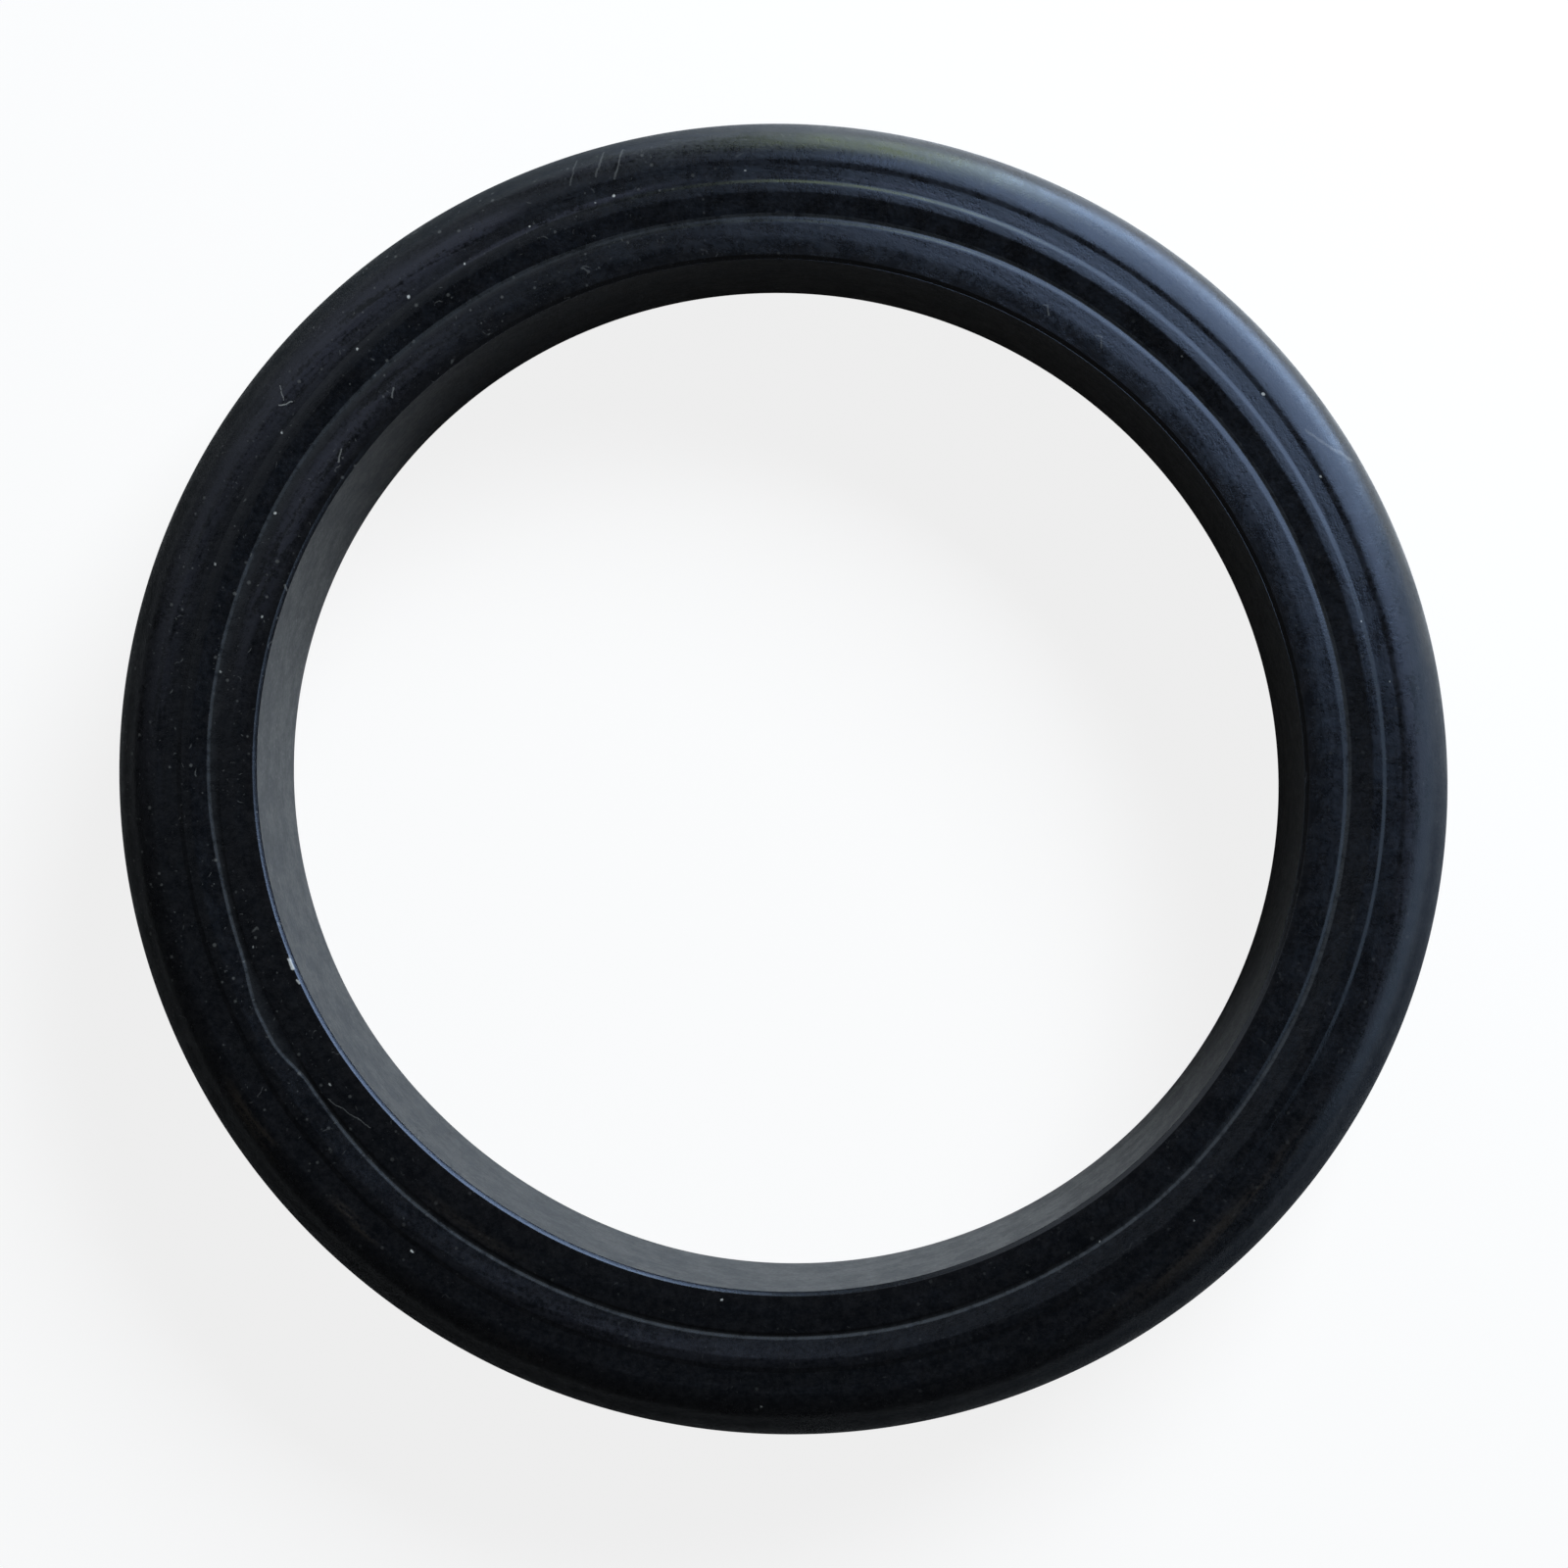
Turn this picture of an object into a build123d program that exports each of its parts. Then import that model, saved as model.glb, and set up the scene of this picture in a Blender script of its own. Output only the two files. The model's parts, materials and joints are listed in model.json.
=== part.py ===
from build123d import *
import os

# Rubber friction ring for a friction drive wheel.
# One moulded piece: a ring of revolution about +Z, the same on both sides of
# its mid-plane. It stands on its lower rim, so z = 0 is the face it rests on
# and the origin is on the ring's axis. Millimetres and degrees.

# Across the section, from the bore out to the tread
bore_diameter = 107.95      # slips over the hub of the drive wheel
seat_flat_width = 2.15      # level part of the seat, where a clamping plate bears
seat_fall_width = 1.95      # outer part of the seat, falling slightly outwards
groove_wall_width = 0.2     # drop from the seat into the parting groove
groove_lip_width = 0.3      # rise from the groove up to the foot of the ramp
ramp_width = 2.175          # slope from the groove up to the rim
rim_width = 0.9             # level top of the rim, the highest part
step_width = 0.3            # small outward step off the rim
valley_width = 1.83         # shallow valley, its floor rising slightly outwards
shoulder_arc = 7            # radius of the rounded shoulder
shoulder_lead = 6           # slope at which the shoulder leaves the valley
shoulder_turn = 70          # how far it turns before it meets the tread

# Up and down, on each side
overall_width = 19.05       # over the two rims
seat_depth = 0.5            # level seat below the rim
seat_fall = 0.08            # outer edge of the seat below its level part
groove_depth = 0.25         # groove below the outer edge of the seat
ramp_foot_depth = 0.52      # foot of the ramp below the rim
valley_depth = 0.17         # inner edge of the valley below the rim
shoulder_depth = 0.1        # start of the shoulder below the rim

# Edges of the bore
bore_edge = 0.35

# Radii where the section changes, worked outwards from the bore
bore_radius = bore_diameter / 2
seat_break_radius = bore_radius + seat_flat_width
seat_edge_radius = seat_break_radius + seat_fall_width
groove_radius = seat_edge_radius + groove_wall_width
ramp_foot_radius = groove_radius + groove_lip_width
rim_inner_radius = ramp_foot_radius + ramp_width
rim_outer_radius = rim_inner_radius + rim_width
valley_radius = rim_outer_radius + step_width
shoulder_radius = valley_radius + valley_width

# Heights above the mid-plane
rim_height = overall_width / 2
seat_height = rim_height - seat_depth
seat_edge_height = seat_height - seat_fall
groove_height = seat_edge_height - groove_depth
ramp_foot_height = rim_height - ramp_foot_depth
valley_height = rim_height - valley_depth
shoulder_height = rim_height - shoulder_depth

# The section is drawn with its x along the radius and its y up from the mid-plane
section_plane = Plane(origin=(0, 0, rim_height), x_dir=(1, 0, 0), z_dir=(0, -1, 0))

with BuildPart() as friction_ring:
    with BuildSketch(section_plane) as section:
        with BuildLine() as outline:
            side = Polyline(
                (bore_radius, seat_height),
                (seat_break_radius, seat_height),
                (seat_edge_radius, seat_edge_height),
                (groove_radius, groove_height),
                (ramp_foot_radius, ramp_foot_height),
                (rim_inner_radius, rim_height),
                (rim_outer_radius, rim_height),
                (valley_radius, valley_height),
                (shoulder_radius, shoulder_height),
            )
            lead = Vector(1, 0).rotate(Axis.Z, -shoulder_lead)
            shoulder = JernArc(start=side @ 1, tangent=lead, radius=shoulder_arc, arc_size=-shoulder_turn)
            tread_corner = shoulder @ 1
            mirror(about=Plane.XZ)
            Line((bore_radius, -seat_height), (bore_radius, seat_height))
            Line((tread_corner.X, -tread_corner.Y), tread_corner)
        make_face()
        bore_corners = section.vertices().group_by(Axis.X)[0]
        chamfer(bore_corners, length=bore_edge)
    revolve(axis=Axis.Z)

friction_ring.part.label = "friction_ring"

os.makedirs("parts", exist_ok=True)
export_step(friction_ring.part, "parts/friction_ring.step")

print(f"outer diameter {2 * tread_corner.X:.2f} mm, bore {bore_diameter:.2f} mm, width {overall_width:.2f} mm")
print(f"bore wall {2 * (seat_height - bore_edge):.2f} mm, tread {2 * tread_corner.Y:.2f} mm wide")
print(f"volume {friction_ring.part.volume:.0f} mm3, faces {len(friction_ring.part.faces())}")
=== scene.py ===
# %% [markdown]
# A rubber friction ring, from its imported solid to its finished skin.
#
# The real thing is one black moulding. Two steel plates clamp it to the rim of a small drive wheel, and
# its tread rubs on a spinning disc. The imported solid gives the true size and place, so the first step is
# to load it and to keep its box. What is made here keeps to that box, apart from the half millimetre by
# which a loose ring lies out of round.

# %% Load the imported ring
import json
import math

import bmesh
import bpy
from mathutils import Matrix, Vector


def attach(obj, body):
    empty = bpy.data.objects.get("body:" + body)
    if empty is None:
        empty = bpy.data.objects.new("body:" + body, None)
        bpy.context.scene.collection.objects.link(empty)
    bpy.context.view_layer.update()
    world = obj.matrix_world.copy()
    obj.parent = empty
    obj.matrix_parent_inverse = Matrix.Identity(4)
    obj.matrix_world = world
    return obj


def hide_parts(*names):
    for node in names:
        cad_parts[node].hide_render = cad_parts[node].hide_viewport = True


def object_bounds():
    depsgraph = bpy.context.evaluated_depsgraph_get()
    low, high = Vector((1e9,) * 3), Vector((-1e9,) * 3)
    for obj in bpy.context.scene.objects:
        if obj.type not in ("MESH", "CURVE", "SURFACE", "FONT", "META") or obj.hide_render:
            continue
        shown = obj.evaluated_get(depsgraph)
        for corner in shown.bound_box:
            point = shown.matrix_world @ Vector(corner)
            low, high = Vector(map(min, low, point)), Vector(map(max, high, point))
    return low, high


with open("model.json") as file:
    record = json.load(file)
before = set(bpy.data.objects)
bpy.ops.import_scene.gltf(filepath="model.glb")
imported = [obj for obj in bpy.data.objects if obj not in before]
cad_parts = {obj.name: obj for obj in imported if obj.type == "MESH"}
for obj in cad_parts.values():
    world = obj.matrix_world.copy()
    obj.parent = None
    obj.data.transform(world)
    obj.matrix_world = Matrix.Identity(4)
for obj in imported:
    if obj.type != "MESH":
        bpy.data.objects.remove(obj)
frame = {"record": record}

cad_low, cad_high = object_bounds()
print("packed box in metres", [round(v, 5) for v in cad_low], [round(v, 5) for v in cad_high])

# %% [markdown]
# The solid is turned from one outline, so a ring with finer edges can be turned from the same outline.
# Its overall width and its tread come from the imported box, and its bore from the record's mount. The
# steps between bore and tread are the maker's sizes, in millimetres turned to metres: a flat for the
# clamping plate, a parting groove, a ramp up to the rim, a small step down and a valley that ends in a
# crease.

# %% Radii of the section, from the bore out
MM = 0.001

mounts = {m["name"]: m for m in frame["record"]["mounts"]}
bore_radius = mounts["bore"]["dims"]["r_mm"] * MM
tread_radius = (cad_high.x - cad_low.x) / 2

seat_flat_width = 2.15 * MM
seat_fall_width = 1.9 * MM
groove_wall_width = 0.48 * MM
groove_lip_width = 0.25 * MM
ramp_width = 2.03 * MM
rim_width = 0.95 * MM
step_width = 0.4 * MM
valley_width = 1.6 * MM
crease_width = 0.45 * MM

seat_break = bore_radius + seat_flat_width
seat_edge = seat_break + seat_fall_width
groove = seat_edge + groove_wall_width
ramp_foot = groove + groove_lip_width
rim_inner = ramp_foot + ramp_width
rim_outer = rim_inner + rim_width
valley_inner = rim_outer + step_width
crease_inner = valley_inner + valley_width
shoulder_start = crease_inner + crease_width
print("bore radius", round(bore_radius / MM, 3), "mm, tread radius", round(tread_radius / MM, 3), "mm")
print("the flats end at", round(shoulder_start / MM, 3), "mm")

# %% [markdown]
# Heights are counted from the ring's mid-plane, because the two sides are alike. The rim is the highest
# part, and every step is given as a depth below it, as it would be on a drawing of the mould.

# %% Heights of the section, from the mid-plane
rim_height = (cad_high.z - cad_low.z) / 2
mid_plane = (cad_high.z + cad_low.z) / 2

seat_depth = 0.5 * MM
bore_lip_fall = 0.15 * MM
seat_fall = 0.01 * MM
groove_depth = 0.21 * MM
ramp_foot_depth = 0.59 * MM
valley_depth = 0.18 * MM
shoulder_depth = 0.08 * MM
chamfer_width = 0.42 * MM
chamfer_height = 0.36 * MM

seat_height = rim_height - seat_depth
bore_lip_height = seat_height - bore_lip_fall
seat_edge_height = seat_height - seat_fall
groove_height = seat_edge_height - groove_depth
ramp_foot_height = rim_height - ramp_foot_depth
valley_height = rim_height - valley_depth
shoulder_height = rim_height - shoulder_depth
chamfer_end = bore_radius + chamfer_width
bore_edge_height = bore_lip_height - chamfer_height
print("half width", round(rim_height / MM, 3), "mm, bore wall up to", round(bore_edge_height / MM, 3), "mm")

# %% [markdown]
# A ring like this could be lathed with a Screw modifier, or swept as a curve with a bevel. Spinning a
# wire of edges is chosen because every corner of the outline then stays a clean loop of edges right round
# the ring, and each loop can be given its own softness afterwards.
#
# The wire is only the upper half of the outline. Two of its points are no corners: one lies just inside
# the edge of the clamping flat and one just above the foot of the ramp. Between them the lip can be bent
# later without bending the faces on either side.

# %% Draw the flats of the outline
seat_edge_band = 0.25 * MM
lip_band = 0.13 * MM
ramp_slope = (rim_height - ramp_foot_height) / (rim_inner - ramp_foot)

corners = [
    (bore_radius, bore_edge_height),
    (chamfer_end, bore_lip_height),
    (seat_break, seat_height),
    (seat_edge - seat_edge_band, seat_edge_height),
    (seat_edge, seat_edge_height),
    (groove, groove_height),
    (ramp_foot, ramp_foot_height),
    (ramp_foot + lip_band, ramp_foot_height + lip_band * ramp_slope),
    (rim_inner, rim_height),
    (rim_outer, rim_height),
    (valley_inner, valley_height),
    (crease_inner, valley_height),
    (shoulder_start, shoulder_height),
]

ring_mesh = bmesh.new()
outline = [ring_mesh.verts.new((radius, 0, height)) for radius, height in corners]
for start, end in zip(outline, outline[1:]):
    ring_mesh.edges.new((start, end))
print("points on the flats", len(ring_mesh.verts), "slope of the ramp", round(ramp_slope, 3))

# %% [markdown]
# The rounded shoulder is one corner turned about the centre of its arc, which needs only a radius and two
# angles. It leaves the crease rising slightly, hence the lead below zero, and turns most of the way down.
#
# The tread looks flat but wears to a slight crown. A second, much larger arc carries the outline from the
# end of the shoulder to the mid-plane. Its radius follows from the rise of the crown over half the
# tread's width.

# %% Turn the shoulder and the crown of the tread
SHOULDER_STEPS = 18
CROWN_STEPS = 6
shoulder_arc = 5.0 * MM
shoulder_lead = math.radians(-2)
shoulder_turn = math.radians(80)

arc_centre = Vector((
    shoulder_start - shoulder_arc * math.sin(shoulder_lead),
    0,
    shoulder_height - shoulder_arc * math.cos(shoulder_lead),
))
bmesh.ops.spin(
    ring_mesh,
    geom=[outline[-1]],
    cent=arc_centre,
    axis=(0, 1, 0),
    angle=shoulder_turn,
    steps=SHOULDER_STEPS,
)
shoulder_end = max(ring_mesh.verts, key=lambda v: v.co.x)
crown_rise = tread_radius - shoulder_end.co.x
crown_radius = (shoulder_end.co.z ** 2 + crown_rise ** 2) / (2 * crown_rise)
crown_turn = math.asin(shoulder_end.co.z / crown_radius)
print("crown", round(crown_rise / MM, 3), "mm high, half width", round(shoulder_end.co.z / MM, 2), "mm")
bmesh.ops.spin(
    ring_mesh,
    geom=[shoulder_end],
    cent=(tread_radius - crown_radius, 0, 0),
    axis=(0, 1, 0),
    angle=crown_turn,
    steps=CROWN_STEPS,
)
print("points on the outline", len(ring_mesh.verts))

# %% [markdown]
# Spinning the wire a full turn makes the upper skin. The lower skin is its mirror image, joined to it
# along the crown of the tread, and a bridge along the bore closes the two skins into one solid ring. The
# bore wall takes the second material, because on the real ring the mould's core leaves a duller skin
# there.

# %% Turn, mirror and close the ring
AROUND = 640
BORE_MATERIAL = 1
same_circle = 0.01 * MM
merge_gap = 0.001 * MM


def loop_at(radius, height):
    """Edges that run round the ring at this radius and height above the mid-plane."""
    def on_circle(vert):
        there = math.hypot(vert.co.x, vert.co.y)
        return abs(there - radius) < same_circle and abs(vert.co.z - height) < same_circle

    return [e for e in ring_mesh.edges if on_circle(e.verts[0]) and on_circle(e.verts[1])]


bmesh.ops.spin(
    ring_mesh,
    geom=ring_mesh.verts[:] + ring_mesh.edges[:],
    cent=(0, 0, 0),
    axis=(0, 0, 1),
    angle=math.tau,
    steps=AROUND,
    use_merge=True,
)
bmesh.ops.mirror(
    ring_mesh,
    geom=ring_mesh.verts[:] + ring_mesh.edges[:] + ring_mesh.faces[:],
    axis="Z",
    merge_dist=merge_gap,
)
bore_loops = loop_at(bore_radius, bore_edge_height) + loop_at(bore_radius, -bore_edge_height)
bore_wall = bmesh.ops.bridge_loops(ring_mesh, edges=bore_loops)["faces"]
for face in bore_wall:
    face.material_index = BORE_MATERIAL
open_edges = [e for e in ring_mesh.edges if e.is_boundary]
print("faces", len(ring_mesh.faces), "open edges", len(open_edges))

# %% [markdown]
# A rubber mould has no razor edges, and each corner of this ring catches the light with its own width.
# The break in the clamping flat is the softest and the parting lip beside the groove is nearly sharp. A
# Bevel modifier would give them all one width, so each loop is bevelled by itself.

# %% Soften each corner by its own amount
# Radius and height of the loop, width of its softening in millimetres, segments
softness = [
    (bore_radius, bore_edge_height, 0.06, 2),
    (chamfer_end, bore_lip_height, 0.06, 2),
    (seat_break, seat_height, 0.25, 2),
    (seat_edge, seat_edge_height, 0.1, 2),
    (groove, groove_height, 0.05, 1),
    (ramp_foot, ramp_foot_height, 0.05, 2),
    (rim_inner, rim_height, 0.12, 3),
    (rim_outer, rim_height, 0.1, 3),
    (valley_inner, valley_height, 0.1, 2),
    (crease_inner, valley_height, 0.12, 2),
    (shoulder_start, shoulder_height, 0.12, 2),
]
for radius, height, width, segments in softness:
    for side in (1, -1):
        bmesh.ops.bevel(
            ring_mesh,
            geom=loop_at(radius, side * height),
            offset=width * MM,
            affect="EDGES",
            segments=segments,
            profile=0.5,
            material=-1,
        )
print("faces after softening", len(ring_mesh.faces))

# %% [markdown]
# Three finishes belong to parts of the shape: the torn rubber along the parting lip, the rubbed edge of
# the bore, and the buffed outside. It is simplest to store a value from 0 to 1 on the points now, while
# the ring is still round. The material reads each value back by its name.

# %% Store where the lip, the bore's edge and the outside are
def ease(value, start, end):
    """0 before start, 1 after end, and an even S-shaped rise between them."""
    share = min(max((value - start) / (end - start), 0), 1)
    return share * share * (3 - 2 * share)


def band(value, rise, fall):
    """1 within a band and 0 outside it. Rise and fall are the start and end of its soft sides."""
    return ease(value, *rise) * (1 - ease(value, *fall))


lip_rise = (groove - 0.1 * MM, groove + 0.03 * MM)
lip_fall = (ramp_foot + 0.03 * MM, ramp_foot + lip_band)
edge_fall = (chamfer_end + 0.03 * MM, chamfer_end + 0.2 * MM)
outside_rise = (66.2 * MM, 67.8 * MM)

lip_layer = ring_mesh.verts.layers.float.new("lip")
edge_layer = ring_mesh.verts.layers.float.new("edge")
outer_layer = ring_mesh.verts.layers.float.new("outer")
for vert in ring_mesh.verts:
    radius = math.hypot(vert.co.x, vert.co.y)
    if vert.co.z > 0:
        vert[lip_layer] = band(radius, lip_rise, lip_fall)
    vert[edge_layer] = 1 - ease(radius, *edge_fall)
    vert[outer_layer] = ease(radius, *outside_rise)
print("points on the lip", sum(1 for v in ring_mesh.verts if v[lip_layer] > 0))

# %% [markdown]
# The lip beside the groove is where the mould parts. On the upper side it wanders outwards along the left
# and then jumps back where the flash was cut. The whole groove and the edge of the bore are a little out
# of round too, as soft rubber is once it has been pulled out of its mould.
#
# A few soft bulges, each given by the angles where it rises and falls and by its height, say this in one
# line each and can be changed one at a time. Angles run from +X towards +Y.

# %% How far the lip, the groove and the bore wander
# Degrees from, degrees to, and how far the lip moves between them in millimetres
LIP_MOVES = [(120, 175, 0.45), (182, 194, -0.25), (199, 205.5, 0.7)]
FLASH_CUT = (208.5, 214)
# Waves round the ring and their height in millimetres
LIP_RIPPLES = [(5, 0.06), (13, 0.04)]
# Rise in degrees, fall in degrees, height in millimetres
GROOVE_BULGES = [
    ((68, 90), (90, 110), -0.22),
    ((108, 135), (140, 168), 0.3),
    ((245, 270), (270, 298), 0.18),
]
BORE_BULGES = [((205, 228), (238, 262), -0.2)]
# The long way of an oval in degrees, and how far it stands out there in millimetres
GROOVE_OVAL = (58, 0.14)
BORE_OVAL = (140, 0.2)
groove_inset = 0.1 * MM


def oval(degrees, long_way, height):
    """An oval about the ring's axis: long one way and short across it."""
    return height * MM * math.cos(math.radians(2 * (degrees - long_way)))


def bulges(degrees, places):
    """Soft bulges and dents round the ring."""
    return sum(height * MM * band(degrees, rise, fall) for rise, fall, height in places)


def lip_wander(degrees):
    """How far the outer side of the groove stands out from its circle."""
    swell = sum(height * MM * ease(degrees, start, end) for start, end, height in LIP_MOVES)
    swell *= 1 - ease(degrees, *FLASH_CUT)
    angle = math.radians(degrees)
    return swell + sum(height * MM * math.sin(waves * angle) for waves, height in LIP_RIPPLES)


def groove_wander(degrees):
    """How far the whole groove stands out from its circle."""
    return oval(degrees, *GROOVE_OVAL) - groove_inset + bulges(degrees, GROOVE_BULGES)


def bore_wander(degrees):
    """How far the edge of the bore stands out from its circle."""
    return oval(degrees, *BORE_OVAL) + bulges(degrees, BORE_BULGES)


print("the lip stands out by up to", round(max(lip_wander(d) for d in range(360)) / MM, 2), "mm")

# %% [markdown]
# Two more marks of the mould change round the ring: the crease in front of the shoulder and the small
# step beside the rim are crisp on one side and all but gone on the other. Lifting the floor of the crease
# and of the valley there is gentler than a second outline, and keeps every loop of edges where it is.

# %% How much of the crease and the step is left
CREASE_CRISP = 0.85
CREASE_FADES = ((70, 105), (335, 355))
STEP_FADES = ((100, 140), (325, 350))
crease_fill = 0.055 * MM
valley_fill = 0.08 * MM


def share_left(degrees, fades):
    """1 on the crisp side, 0 on the worn side. Fades are where it goes and where it comes back."""
    goes, comes_back = fades
    return 1 - ease(degrees, *goes) + ease(degrees, *comes_back)


def crease_lift(degrees):
    """How far the floor of the crease is lifted."""
    return crease_fill * (1 - CREASE_CRISP * share_left(degrees, CREASE_FADES))


def valley_lift(degrees):
    """How far the floor of the valley is lifted."""
    return valley_fill * (1 - share_left(degrees, STEP_FADES))


print("the crease is lifted by up to", round(max(crease_lift(d) for d in range(360)) / MM, 3), "mm")

# %% [markdown]
# Now the points are moved. Each change fades in and out across the section, so that the faces beside it
# stay smooth. When the lip moves outwards it also climbs the ramp, which keeps the ramp straight. The
# underside is left plain apart from the bore's edge, because nothing there is known to have moved.

# %% Bend the bore's edge, the groove, the lip, the crease and the valley
bore_fade = (chamfer_end, seat_break)
groove_rise = (seat_break + 0.3 * MM, seat_edge - 0.2 * MM)
groove_fall = (ramp_foot + lip_band, rim_inner - 0.3 * MM)
lip_push_rise = (seat_edge + 0.06 * MM, groove - 0.1 * MM)
crease_rise = (valley_inner + 0.4 * MM, crease_inner - 0.12 * MM)
crease_fall = (crease_inner + 0.12 * MM, shoulder_start - 0.12 * MM)
valley_rise = (rim_outer + 0.1 * MM, valley_inner - 0.1 * MM)
valley_fall = (shoulder_start, shoulder_start + 2 * MM)

for vert in ring_mesh.verts:
    radius = math.hypot(vert.co.x, vert.co.y)
    degrees = math.degrees(math.atan2(vert.co.y, vert.co.x)) % 360
    push = bore_wander(degrees) * (1 - ease(radius, *bore_fade))
    if vert.co.z > 0:
        lip_push = lip_wander(degrees) * band(radius, lip_push_rise, groove_fall)
        push += groove_wander(degrees) * band(radius, groove_rise, groove_fall) + lip_push
        vert.co.z += lip_push * ramp_slope
        vert.co.z += crease_lift(degrees) * band(radius, crease_rise, crease_fall)
        vert.co.z += valley_lift(degrees) * band(radius, valley_rise, valley_fall)
    vert.co.xy *= 1 + push / radius
print("bent", len(ring_mesh.verts), "points")

# %% [markdown]
# Loose rubber is never quite round. This ring lies about one part in a hundred out of round, long one way
# and short the other, which a scale along a turned axis gives in one step. Its outside also sits a hair
# beside its bore, as it does when one half of a mould is not quite in line with the other.
#
# A Weighted Normal modifier finishes the piece: it lets the large faces set the shading and keeps the
# small softened edges from bending it.

# %% Let the ring sag out of round and set it on its lower rim
LONG_WAY = math.radians(160)
STRETCH = 0.009
outside_shift = Vector((-0.08 * MM, -0.23 * MM))
shift_rise = (rim_outer, 69 * MM)

for vert in ring_mesh.verts:
    vert.co.xy += outside_shift * ease(math.hypot(vert.co.x, vert.co.y), *shift_rise)

stretch = Matrix.Scale(1 + STRETCH, 4, (math.cos(LONG_WAY), math.sin(LONG_WAY), 0))
squeeze = Matrix.Scale(1 - STRETCH, 4, (-math.sin(LONG_WAY), math.cos(LONG_WAY), 0))
bmesh.ops.transform(ring_mesh, matrix=stretch @ squeeze, verts=ring_mesh.verts[:])
bmesh.ops.translate(ring_mesh, vec=(0, 0, mid_plane), verts=ring_mesh.verts[:])
bmesh.ops.recalc_face_normals(ring_mesh, faces=ring_mesh.faces[:])
for face in ring_mesh.faces:
    face.smooth = True

mesh = bpy.data.meshes.new("moulded_ring")
ring_mesh.to_mesh(mesh)
ring_mesh.free()
ring = bpy.data.objects.new("moulded_ring", mesh)
bpy.context.scene.collection.objects.link(ring)
weighted = ring.modifiers.new("even shading", "WEIGHTED_NORMAL")
weighted.keep_sharp = False
print("triangles", sum(len(p.vertices) - 2 for p in mesh.polygons))

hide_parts("friction_ring")
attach(ring, "root")

# %% [markdown]
# Black rubber is nearly all sheen: soot in the rubber swallows the light, and what is seen is the window
# mirrored in a satin skin. The skin is not even. It has a fine grain, long faint streaks that follow the
# turn of the mould, dust, and dull smears where fingers and rags have been.
#
# All of these marks are worked out from the ring's own angle and radius, in small groups of nodes that
# both rubbers share. A painted image would need unwrapping and would blur in close views. A few helpers
# come first, so that each group reads as a list of steps.

# %% Helpers: an empty group, and a group placed in another tree
def new_group(name, inputs, outputs):
    """An empty shader group with float or vector sockets. Returns the group and its two end nodes."""
    tree = bpy.data.node_groups.new(name, "ShaderNodeTree")
    kinds = {"float": "NodeSocketFloat", "vector": "NodeSocketVector"}
    for socket_name, kind in inputs:
        tree.interface.new_socket(socket_name, in_out="INPUT", socket_type=kinds[kind])
    for socket_name, kind in outputs:
        tree.interface.new_socket(socket_name, in_out="OUTPUT", socket_type=kinds[kind])
    return tree, tree.nodes.new("NodeGroupInput").outputs, tree.nodes.new("NodeGroupOutput").inputs


def feed(tree, socket, value):
    """Link a socket to another socket, or set it to a plain value."""
    if isinstance(value, bpy.types.NodeSocket):
        tree.links.new(value, socket)
    else:
        socket.default_value = value


def use_group(tree, group, **values):
    """Place a group in another tree. Returns its outputs."""
    node = tree.nodes.new("ShaderNodeGroup")
    node.node_tree = group
    for socket_name, value in values.items():
        feed(tree, node.inputs[socket_name], value)
    return node.outputs


print("group helpers ready")

# %% [markdown]
# Each helper below makes one node, feeds it and hands back what comes out of it. Map Range with a smooth
# step does most of the work: it turns a distance or a noise into a mask with soft edges.

# %% Helpers: sums, masks and noise
HALF_TURN = 180.0
FULL_TURN = 360.0


def math_of(tree, operation, *values):
    """A Math node on up to three values."""
    node = tree.nodes.new("ShaderNodeMath")
    node.operation = operation
    for socket, value in zip(node.inputs, values):
        feed(tree, socket, value)
    return node.outputs[0]


def vector_of(tree, operation, *values):
    """A Vector Math node. Returns the node, as some of them give a value and some a vector."""
    node = tree.nodes.new("ShaderNodeVectorMath")
    node.operation = operation
    for socket, value in zip(node.inputs, values):
        feed(tree, socket, value)
    return node


def scaled(tree, vector, scale):
    """A vector made longer or shorter."""
    node = vector_of(tree, "SCALE", vector)
    feed(tree, node.inputs["Scale"], scale)
    return node.outputs["Vector"]


def axes_of(tree, vector):
    """The three parts of a vector."""
    node = tree.nodes.new("ShaderNodeSeparateXYZ")
    feed(tree, node.inputs[0], vector)
    return node.outputs


def between(tree, value, low, high, out_low=0.0, out_high=1.0):
    """Smoothly map a value from one range to another."""
    node = tree.nodes.new("ShaderNodeMapRange")
    node.interpolation_type = "SMOOTHSTEP"
    for socket, item in zip(node.inputs, (value, low, high, out_low, out_high)):
        feed(tree, socket, item)
    return node.outputs["Result"]


def noise_of(tree, vector, scale, detail=2.0, roughness=0.5):
    """A Noise texture. Returns its outputs: Fac is grey and Color is three noises in one."""
    node = tree.nodes.new("ShaderNodeTexNoise")
    feed(tree, node.inputs["Vector"], vector)
    node.inputs["Scale"].default_value = scale
    node.inputs["Detail"].default_value = detail
    node.inputs["Roughness"].default_value = roughness
    return node.outputs


print("node helpers ready")

# %% [markdown]
# The first group turns the place on the ring into an angle in degrees and a radius in millimetres. It
# also gives a stretched place, in which a plain noise becomes streaks that run round the ring: going
# round changes it slowly and going across changes it fast.

# %% Group: place on the ring
FLOW_ROUND = 9.0
FLOW_ACROSS = 1.1

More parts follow.
